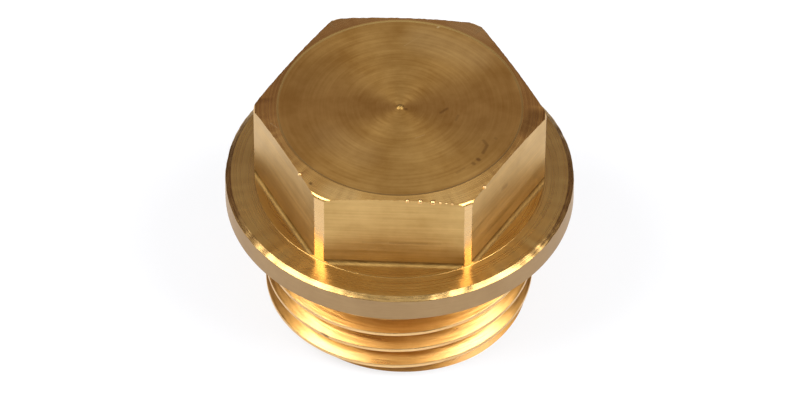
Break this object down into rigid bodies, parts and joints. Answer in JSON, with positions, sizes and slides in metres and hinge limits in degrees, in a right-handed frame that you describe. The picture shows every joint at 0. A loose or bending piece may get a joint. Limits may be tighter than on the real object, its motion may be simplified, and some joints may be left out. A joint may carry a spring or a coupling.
{
  "type": "threaded plug",
  "caption": "Solid brass blanking plug with a hexagon head, a round flange and a parallel pipe thread, screwed into a port to close it.",
  "frame": {"origin": "centre of the flat threaded end, which the plug stands on", "axes": "+Z along the thread's axis, from the threaded end up to the head; -Y faces a flat of the hexagon, and the hexagon's corners lie on X"},
  "size_m": [0.027, 0.027, 0.0196],
  "materials": {
    "brass": "turned and milled, satin with fine tool marks"
  },
  "bodies": {
    "root": {"plug_body": "brass"}
  },
  "joints": []
}
